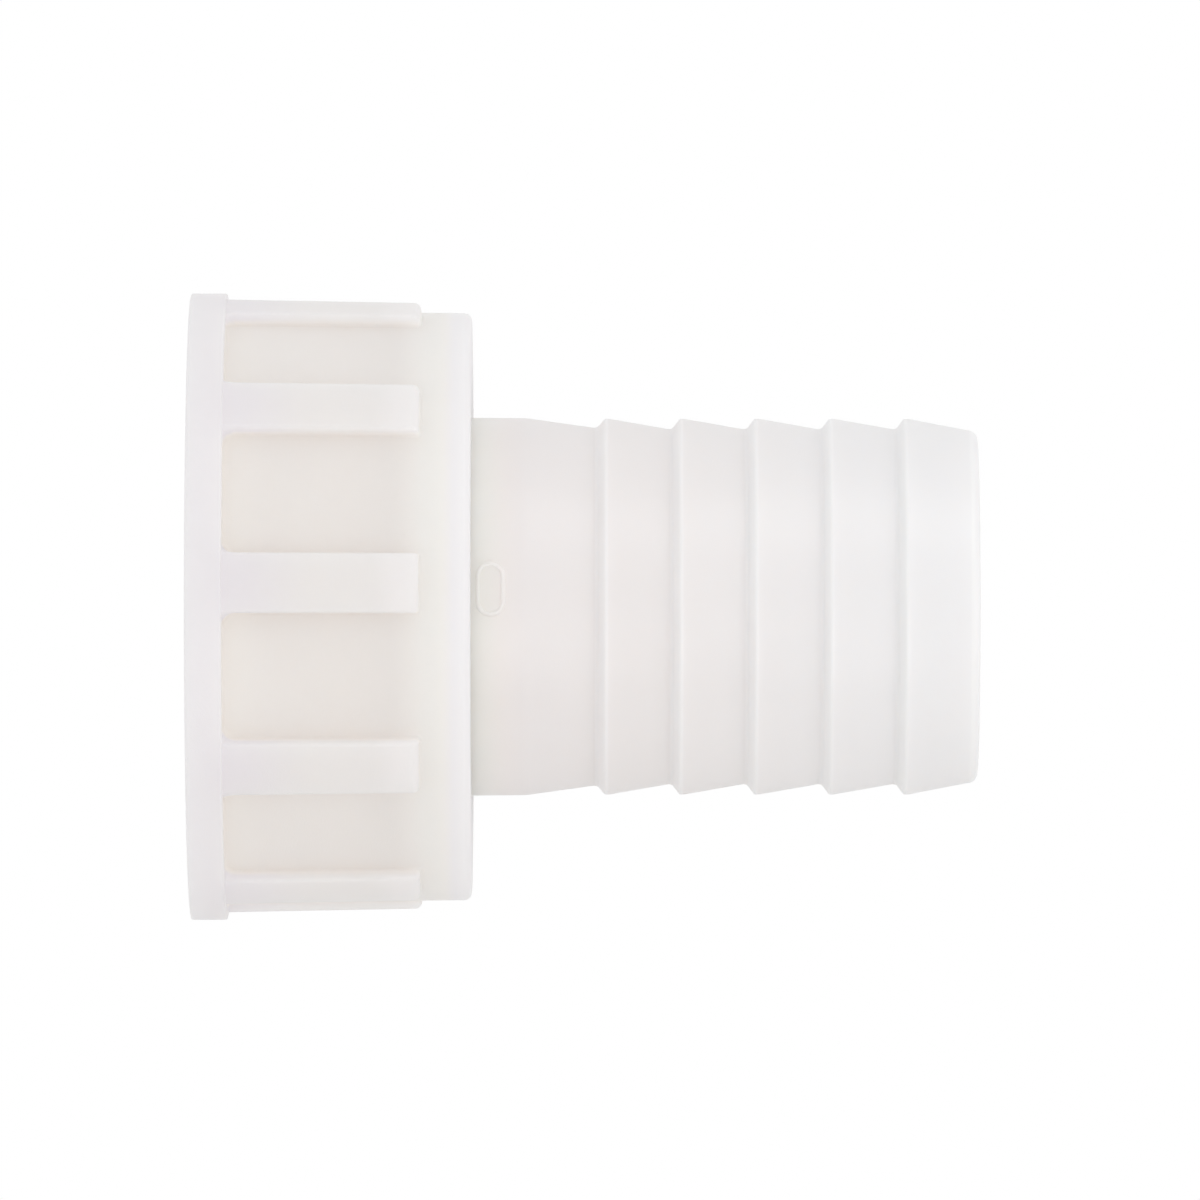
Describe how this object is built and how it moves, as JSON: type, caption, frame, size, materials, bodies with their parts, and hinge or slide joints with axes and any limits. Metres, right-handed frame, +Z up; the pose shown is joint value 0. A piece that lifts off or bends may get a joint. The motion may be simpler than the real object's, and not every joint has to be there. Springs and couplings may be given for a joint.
{
  "type": "hose tail with union nut",
  "caption": "Straight barbed hose tail with a loose ribbed union nut and flat washer, for joining a hose to a threaded thru-hull stem.",
  "frame": {"origin": "on the thread's axis, at the washer's sealing face, where the end of the threaded stem seats", "axes": "+X along the waterway towards the barbed end, so the nut's mouth opens towards -X; +Z up"},
  "size_m": [0.0648, 0.0516, 0.0516],
  "materials": {
    "tail_nylon": "natural nylon, slightly translucent, fine spark-eroded mould grain",
    "nut_nylon": "natural nylon, slightly translucent, satin in the pockets and smoother on the ribs",
    "washer_rubber": "pale soft rubber, matt"
  },
  "bodies": {
    "nut": {"union_nut": "nut_nylon"},
    "washer": {"sealing_gasket": "washer_rubber"},
    "tail": {"hose_tail": "tail_nylon"}
  },
  "joints": [
    {"name": "tail_withdraw", "type": "slide", "parent": "nut", "child": "washer", "axis": [-1, 0, 0], "range_m": [0, 0.067]},
    {"name": "tail_swivel", "type": "hinge", "parent": "washer", "child": "tail", "pos_m": [0, 0, 0], "axis": [1, 0, 0], "continuous": true}
  ]
}
